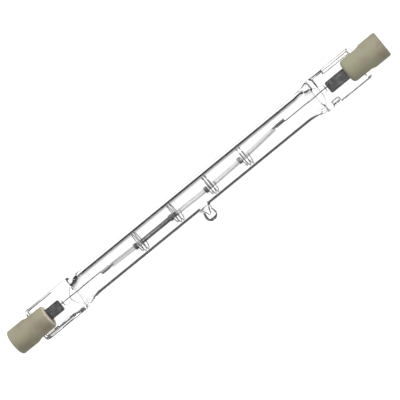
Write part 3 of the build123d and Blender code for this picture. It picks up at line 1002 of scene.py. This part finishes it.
class BULB_OT_foils(bpy.types.Operator):
    """Lay the sealing foils, thinned to an edge on both sides"""

    bl_idname = "bulb.foils"
    bl_label = "Sealing foils"

    def execute(self, context):
        edge_share, edge_width = 0.3, 0.35 * MM
        ripple_height, ripple_along, ripple_across = 0.02 * MM, 0.8 * MM, 0.55 * MM
        wires = context.scene.bulb_wires
        metal = sealed_foil()
        level = -wires.outer_lead_diameter / 2 - wires.foil_thickness / 2
        for end, side in ENDS.items():
            middle = side * (foil_start(end) + wires.foil_length / 2)
            shift = foil_shift(end) - wires.foil_overlap / 2
            bpy.ops.object.select_all(action="DESELECT")
            bpy.ops.mesh.primitive_grid_add(
                x_subdivisions=36, y_subdivisions=20, size=1, location=(middle, shift, level)
            )
            foil = context.object
            foil.name = f"foil_sheet_{end}"
            foil.scale = (wires.foil_length, wires.foil_width, 1)
            bpy.ops.object.transform_apply(location=True, rotation=True, scale=True)
            wall = foil.modifiers.new("Thickness", "SOLIDIFY")
            wall.thickness = wires.foil_thickness
            wall.offset = 0
            bpy.ops.object.modifier_apply(modifier=wall.name)
            for vertex in foil.data.vertices:
                edge = wires.foil_width / 2 - abs(vertex.co.y - shift)
                too_far = wires.foil_corner - edge - (abs(vertex.co.x) - foil_start(end))
                if too_far > 0:
                    vertex.co.x += side * too_far / 2
                    vertex.co.y -= too_far / 2 * (1 if vertex.co.y > shift else -1)
                thin = edge_share + (1 - edge_share) * smooth_step(edge / edge_width)
                wave = sin(vertex.co.x / ripple_along) * sin(vertex.co.y / ripple_across + side)
                vertex.co.z = level + (vertex.co.z - level) * thin + ripple_height * wave
            settle(foil, [f"foil_{end}"], metal)
        return {"FINISHED"}


def turned(radius, near, far, side, vertices=64):
    """A cylinder along the bulb, between two distances from its middle."""
    bpy.ops.object.select_all(action="DESELECT")
    bpy.ops.mesh.primitive_cylinder_add(
        vertices=vertices,
        radius=radius,
        depth=far - near,
        location=(side * (near + far) / 2, 0, 0),
        rotation=(0, pi / 2, 0),
    )
    bpy.ops.object.transform_apply(location=True, rotation=True, scale=True)
    return bpy.context.object


def round_rim(piece, distance, rounding, segments):
    """Round those edges of a piece that lie across the bulb, at a distance from its middle."""
    only(piece)
    bpy.ops.object.mode_set(mode="EDIT")
    bpy.ops.mesh.select_mode(type="EDGE")
    bpy.ops.mesh.select_all(action="DESELECT")
    bpy.ops.object.mode_set(mode="OBJECT")
    for edge in piece.data.edges:
        places = [abs(piece.data.vertices[i].co.x) for i in edge.vertices]
        edge.select = all(abs(place - distance) < ON_PLANE for place in places)
    bpy.ops.object.mode_set(mode="EDIT")
    bpy.ops.mesh.bevel(offset=rounding, segments=segments, affect="EDGES")
    bpy.ops.object.mode_set(mode="OBJECT")


class BULB_OT_caps(bpy.types.Operator):
    """Turn the ceramic caps, mill their slots and sink their recesses"""

    bl_idname = "bulb.caps"
    bl_label = "Ceramic caps"

    def execute(self, context):
        caps, quartz, wires = context.scene.bulb_caps, context.scene.bulb_quartz, context.scene.bulb_wires
        ceramic = steatite()
        radius = caps.cap_diameter / 2
        across, outside = 3 * radius, caps.cap_end + radius  # where a tool stands clear of the cap
        start = caps.cap_end - caps.cap_length
        slot_half = quartz.pinch_thickness / 2 + caps.slot_gap
        slot_bend = start + caps.slot_reach - slot_half
        contact_face = caps.cap_end - caps.recess_depth
        seat_floor = contact_face - caps.contact_thickness
        for end, side in ENDS.items():
            cap = turned(radius, start, caps.cap_end, side, vertices=128)
            cap.name = f"cap_ceramic_{end}"
            round_rim(cap, start, caps.inner_rim, segments=12)
            round_rim(cap, caps.cap_end, caps.outer_rim, segments=8)

            bpy.ops.object.select_all(action="DESELECT")
            bpy.ops.mesh.primitive_cube_add(size=1, location=(side * (slot_bend - caps.slot_reach / 2), 0, 0))
            context.object.scale = (caps.slot_reach, across, 2 * slot_half)
            cut(cap, context.object)
            bpy.ops.object.select_all(action="DESELECT")
            bpy.ops.mesh.primitive_cylinder_add(
                vertices=64,
                radius=slot_half,
                depth=across,
                location=(side * slot_bend, 0, 0),
                rotation=(pi / 2, 0, 0),
            )
            cut(cap, context.object)
            cut(cap, turned(wires.outer_lead_diameter / 2 + caps.hole_gap, slot_bend, contact_face, side))
            cut(cap, turned(caps.contact_diameter / 2 + caps.seat_gap, seat_floor, outside, side))
            cut(cap, turned(caps.recess_diameter / 2, contact_face, outside, side))
            only(cap)
            rounding = cap.modifiers.new("Rounding", "BEVEL")
            rounding.width = caps.edge_round
            rounding.segments = 2
            rounding.limit_method = "ANGLE"
            rounding.angle_limit = radians(50)
            bpy.ops.object.modifier_apply(modifier=rounding.name)
            settle(cap, [f"ceramic_cap_{end}"], ceramic)
        return {"FINISHED"}


class BULB_OT_contacts(bpy.types.Operator):
    """Press the contact buttons, each with a shallow dimple, and dress the cement that the caps are set in"""

    bl_idname = "bulb.contacts"
    bl_label = "Contacts and cement"

    def execute(self, context):
        dimple_steps = 3
        caps = context.scene.bulb_caps
        nickel = drawn_metal("nickel_button", context.scene.bulb_colours.nickel, 0.35, 0.3 * MM)
        cement = lamp_cement()
        face = caps.cap_end - caps.recess_depth
        radius = caps.contact_diameter / 2
        for end, side in ENDS.items():
            button = turned(radius, face - caps.contact_thickness, face, side)
            button.name = f"button_{end}"
            round_rim(button, face, caps.button_rim, segments=5)
            for polygon in button.data.polygons:
                on_face = abs(abs(polygon.center.x) - face) < ON_PLANE
                polygon.select = len(polygon.vertices) > 4 and on_face
            bpy.ops.object.mode_set(mode="EDIT")
            bpy.ops.mesh.select_mode(type="FACE")
            bpy.ops.mesh.inset(thickness=caps.dimple_inset)
            for _ in range(dimple_steps):
                bpy.ops.mesh.inset(thickness=caps.dimple_inset / (dimple_steps + 1))
                bpy.ops.transform.translate(value=(-side * caps.dimple_depth / dimple_steps, 0, 0))
            bpy.ops.object.mode_set(mode="OBJECT")
            settle(button, [f"contact_{end}"], nickel)
            redress(f"cap_cement_{end}", cement)
        return {"FINISHED"}


def studio_floor(studio, middle):
    """A white sheet that keeps the bulb's soft shadow.

    Through the quartz it is lit only near the bulb, as a light table is, so that what the quartz bends far
    aside is dark. It is open, so that light meets the world, below the pinches and the exhaust tip, and for
    light that bounced inside the quartz."""
    fade = 1.2
    material, tree, output = new_material("studio_floor")
    path = add_node(tree, "ShaderNodeLightPath").outputs
    through, bounces = path["Is Transmission Ray"], path["Glossy Depth"]
    place = add_node(tree, "ShaderNodeTexCoord").outputs["Object"]
    axes = add_node(tree, "ShaderNodeSeparateXYZ", {"Vector": place}).outputs
    along = add_node(tree, "ShaderNodeMath", {0: axes["X"]}, operation="ABSOLUTE").outputs[0]
    beside = add_node(tree, "ShaderNodeMath", {0: axes["Y"], 1: middle}, operation="SUBTRACT").outputs[0]
    changes = [
        (beside, studio.grey_start, studio.grey_end, 1, studio.grey_level),
        (beside, studio.grey_end, studio.dark_start, 1, studio.dark_level),
        (beside, studio.near_start, studio.near_end, 1, studio.dark_level),
        (along, studio.tip_clear, studio.tip_clear * fade, 1, 0),
        (beside, studio.dark_stop, studio.dark_stop * fade, 0, 1),
        (beside, studio.near_stop, studio.near_stop * fade, 0, 1),
        (through, 0, 1, studio.sheet_shade, 0),
    ]
    grey, dark, near, clear_of_tip, far_back, far_front, shade = [
        add_node(
            tree,
            "ShaderNodeMapRange",
            {"Value": value, "From Min": start, "From Max": stop, "To Min": before, "To Max": after},
            interpolation_type="SMOOTHSTEP",
        ).outputs["Result"]
        for value, start, stop, before, after in changes
    ]
    back = add_node(tree, "ShaderNodeMath", {0: grey, 1: dark}, operation="MULTIPLY").outputs[0]
    front = add_node(tree, "ShaderNodeMath", {0: near, 1: clear_of_tip}, operation="MAXIMUM").outputs[0]
    lit = add_node(tree, "ShaderNodeMath", {0: back, 1: front}, operation="MULTIPLY").outputs[0]
    for far in (far_back, far_front):
        lit = add_node(tree, "ShaderNodeMath", {0: lit, 1: far}, operation="MAXIMUM").outputs[0]
    lit = add_node(tree, "ShaderNodeMath", {0: lit, 1: studio.lit_level}, operation="MULTIPLY").outputs[0]

    tip = Vector((studio.tip_disc_x, middle + studio.tip_disc_y, 0))
    to_tip = add_node(tree, "ShaderNodeVectorMath", {0: place, 1: tip}, operation="DISTANCE").outputs["Value"]
    gap = add_node(tree, "ShaderNodeMath", {0: to_tip, 1: studio.tip_disc}, operation="LESS_THAN").outputs[0]
    for value, limit in ((along, studio.pinch_from), (bounces, ONE_OR_MORE)):
        beyond = add_node(tree, "ShaderNodeMath", {0: value, 1: limit}, operation="GREATER_THAN").outputs[0]
        gap = add_node(tree, "ShaderNodeMath", {0: gap, 1: beyond}, operation="MAXIMUM").outputs[0]
    gap = add_node(tree, "ShaderNodeMath", {0: gap, 1: through}, operation="MULTIPLY").outputs[0]

    seen = add_node(
        tree, "ShaderNodeMath", {0: path["Is Camera Ray"], 1: path["Is Glossy Ray"]}, operation="MAXIMUM"
    )
    level = add_node(tree, "ShaderNodeMix", {0: through, 2: seen.outputs[0], 3: lit}, data_type="FLOAT")
    colour_of_sheet = add_node(tree, "ShaderNodeCombineColor", {"Red": shade, "Green": shade, "Blue": shade})
    glow = add_node(tree, "ShaderNodeEmission", {"Color": (1, 1, 1, 1), "Strength": level.outputs[0]})
    sheet = add_node(tree, "ShaderNodeBsdfDiffuse", {"Color": colour_of_sheet.outputs[0]})
    both = add_node(tree, "ShaderNodeAddShader", {0: sheet.outputs[0], 1: glow.outputs[0]})
    clear = add_node(tree, "ShaderNodeBsdfTransparent")
    mix = add_node(tree, "ShaderNodeMixShader", {0: gap, 1: both.outputs[0], 2: clear.outputs[0]})
    tree.links.new(mix.outputs[0], output.inputs["Surface"])
    return material


def studio_world(studio, bulb):
    """White to the camera, a soft room to all else, and dark for light that the quartz sends far aside."""
    overhead = 0.7
    world = bpy.data.worlds.new("studio")
    bpy.context.scene.world = world
    world.use_nodes = True
    tree = world.node_tree
    tree.nodes.clear()
    output = tree.nodes.new("ShaderNodeOutputWorld")
    path = add_node(tree, "ShaderNodeLightPath").outputs
    heading = add_node(tree, "ShaderNodeTexCoord").outputs["Generated"]
    axes = add_node(tree, "ShaderNodeSeparateXYZ", {"Vector": heading}).outputs
    right, back = [
        add_node(
            tree, "ShaderNodeVectorMath", {0: heading, 1: bulb.col[axis].to_3d()}, operation="DOT_PRODUCT"
        ).outputs["Value"]
        for axis in range(2)
    ]
    left = add_node(tree, "ShaderNodeMath", {0: right, 1: -1.0}, operation="MULTIPLY").outputs[0]
    front = add_node(tree, "ShaderNodeMath", {0: back, 1: -1.0}, operation="MULTIPLY").outputs[0]
    endwards = add_node(tree, "ShaderNodeMath", {0: right}, operation="ABSOLUTE").outputs[0]
    limits = [
        (back, studio.back_angle),
        (endwards, studio.end_angle),
        (front, studio.front_angle),
        (front, studio.front_limit),
        (back, studio.straight_back),
        (front, studio.straight_front),
        (right, studio.straight_right),
        (left, studio.straight_left),
    ]
    to_back, to_end, to_front, past_front, *straight = [
        add_node(
            tree,
            "ShaderNodeMapRange",
            {"Value": aside, "From Min": sin(limit), "From Max": sin(limit) + studio.angle_blur},
            interpolation_type="SMOOTHSTEP",
        ).outputs["Result"]
        for aside, limit in limits
    ]
    to_front = add_node(tree, "ShaderNodeMath", {0: to_front, 1: past_front}, operation="SUBTRACT").outputs[0]
    bounced, bounced_twice, below = [
        add_node(tree, "ShaderNodeMath", {0: path[count], 1: limit}, operation="GREATER_THAN").outputs[0]
        for count, limit in (
            ("Glossy Depth", ONE_OR_MORE), ("Glossy Depth", TWO_OR_MORE), ("Transparent Depth", ONE_OR_MORE)
        )
    ]
    dimmed = bounced_twice
    for dark in (to_back, to_front, to_end):
        dimmed = add_node(tree, "ShaderNodeMath", {0: dimmed, 1: dark}, operation="MAXIMUM").outputs[0]
    unbounced = straight[0]
    for dark in straight[1:]:
        unbounced = add_node(tree, "ShaderNodeMath", {0: unbounced, 1: dark}, operation="MAXIMUM").outputs[0]
    unbounced = add_node(tree, "ShaderNodeMath", {0: unbounced, 1: below}, operation="MULTIPLY").outputs[0]
    shade = add_node(tree, "ShaderNodeMix", {0: bounced, 2: unbounced, 3: dimmed}, data_type="FLOAT")
    through = add_node(
        tree,
        "ShaderNodeMapRange",
        {"Value": shade.outputs[0], "To Min": studio.lit_level, "To Max": studio.dark_level},
    )
    mirrored = add_node(
        tree,
        "ShaderNodeMapRange",
        {
            "Value": axes["Z"],
            "From Max": overhead,
            "To Min": studio.mirrored_low,
            "To Max": studio.mirrored_high,
        },
    )
    room = add_node(
        tree,
        "ShaderNodeMix",
        {0: path["Is Glossy Ray"], 2: studio.room_level, 3: mirrored.outputs["Result"]},
        data_type="FLOAT",
    )
    other = add_node(
        tree,
        "ShaderNodeMix",
        {0: path["Is Transmission Ray"], 2: room.outputs[0], 3: through.outputs["Result"]},
        data_type="FLOAT",
    )
    level = add_node(
        tree, "ShaderNodeMath", {0: path["Is Camera Ray"], 1: other.outputs[0]}, operation="MAXIMUM"
    )
    light = add_node(tree, "ShaderNodeBackground", {"Color": (1, 1, 1, 1), "Strength": level.outputs[0]})
    tree.links.new(light.outputs[0], output.inputs["Surface"])


def soft_lamp(name, size, power, place, target):
    """A square lamp that faces a point."""
    light = bpy.data.lights.new(name, "AREA")
    light.shape = "SQUARE"
    light.size = size
    light.energy = power
    lamp = bpy.data.objects.new(name, light)
    bpy.context.collection.objects.link(lamp)
    lamp.location = place
    lamp.rotation_mode = "QUATERNION"
    lamp.rotation_quaternion = (Vector(place) - Vector(target)).to_track_quat("Z", "Y")


class BULB_OT_studio(bpy.types.Operator):
    """Set up the floor, the light and the camera"""

    bl_idname = "bulb.studio"
    bl_label = "Studio"

    def execute(self, context):
        studio = context.scene.bulb_studio
        bulb = lamp_frame()
        centre = bulb.translation
        along, out = bulb.col[0].to_3d(), bulb.col[2].to_3d()
        bpy.ops.object.select_all(action="DESELECT")
        bpy.ops.mesh.primitive_plane_add(size=studio.floor_size, location=(0, 0, 0))
        floor = context.object
        floor.name = "floor"
        floor.data.materials.append(studio_floor(studio, centre.y))
        studio_world(studio, bulb)

        back = (out * cos(studio.camera_yaw) + along * sin(studio.camera_yaw)).normalized()
        seen = (along - along.dot(back) * back).normalized()
        beside = back.cross(seen)
        right = seen * cos(studio.camera_roll) - beside * sin(studio.camera_roll)
        up = seen * sin(studio.camera_roll) + beside * cos(studio.camera_roll)
        target = centre + right * studio.aim_right - up * studio.aim_down
        data = bpy.data.cameras.new("camera")
        data.lens = data.sensor_width * studio.camera_distance / studio.picture_width
        data.clip_start, data.clip_end = 0.01, 10
        camera = bpy.data.objects.new("camera", data)
        context.collection.objects.link(camera)
        turn = Matrix((right, up, back)).transposed().to_4x4()
        camera.matrix_world = Matrix.Translation(target + back * studio.camera_distance) @ turn
        context.scene.camera = camera

        towards_key = up * 0.8 - right * 0.6 + back * 0.7
        towards_fill = right * 0.9 - up * 0.3 + back * 0.8
        size = studio.lamp_distance / 2
        soft_lamp("key", size, studio.key_power, centre + towards_key * studio.lamp_distance, centre)
        soft_lamp("fill", size, studio.fill_power, centre + towards_fill * studio.lamp_distance, centre)
        context.scene.view_settings.view_transform = "Standard"
        return {"FINISHED"}


class BULB_PT_panel(bpy.types.Panel):
    """Lists the bulb's sizes and the steps that make it"""

    bl_idname = "BULB_PT_panel"
    bl_label = "Linear halogen bulb"
    bl_space_type = "VIEW_3D"
    bl_region_type = "UI"
    bl_category = "Bulb"

    def draw(self, context):
        for step in STEPS_IN_ORDER:
            self.layout.operator(step.bl_idname)
        for name in GROUPS:
            box = self.layout.box()
            group = getattr(context.scene, name)
            for prop in group.bl_rna.properties:
                if prop.identifier not in ("rna_type", "name"):
                    box.prop(group, prop.identifier)


GROUPS = {
    "bulb_quartz": BulbQuartz,
    "bulb_wires": BulbWires,
    "bulb_caps": BulbCaps,
    "bulb_colours": BulbColours,
    "bulb_studio": BulbStudio,
}
STEPS_IN_ORDER = [
    BULB_OT_studio,
    BULB_OT_quartz,
    BULB_OT_leads,
    BULB_OT_filament,
    BULB_OT_supports,
    BULB_OT_foils,
    BULB_OT_caps,
    BULB_OT_contacts,
]


def register():
    """Register the classes and hang the property groups on the scene."""
    for cls in [*GROUPS.values(), *STEPS_IN_ORDER, BULB_PT_panel]:
        bpy.utils.register_class(cls)
    for name, cls in GROUPS.items():
        setattr(bpy.types.Scene, name, PointerProperty(type=cls))


def unregister():
    """Take the property groups off the scene and unregister the classes."""
    for name in GROUPS:
        delattr(bpy.types.Scene, name)
    for cls in [BULB_PT_panel, *reversed(STEPS_IN_ORDER), *reversed(GROUPS.values())]:
        bpy.utils.unregister_class(cls)


def main():
    """Make the bulb and its studio."""
    register()
    bpy.ops.bulb.studio()
    bpy.ops.bulb.quartz()
    bpy.ops.bulb.leads()
    bpy.ops.bulb.filament()
    bpy.ops.bulb.supports()
    bpy.ops.bulb.foils()
    bpy.ops.bulb.caps()
    bpy.ops.bulb.contacts()


if __name__ == "__main__":
    main()
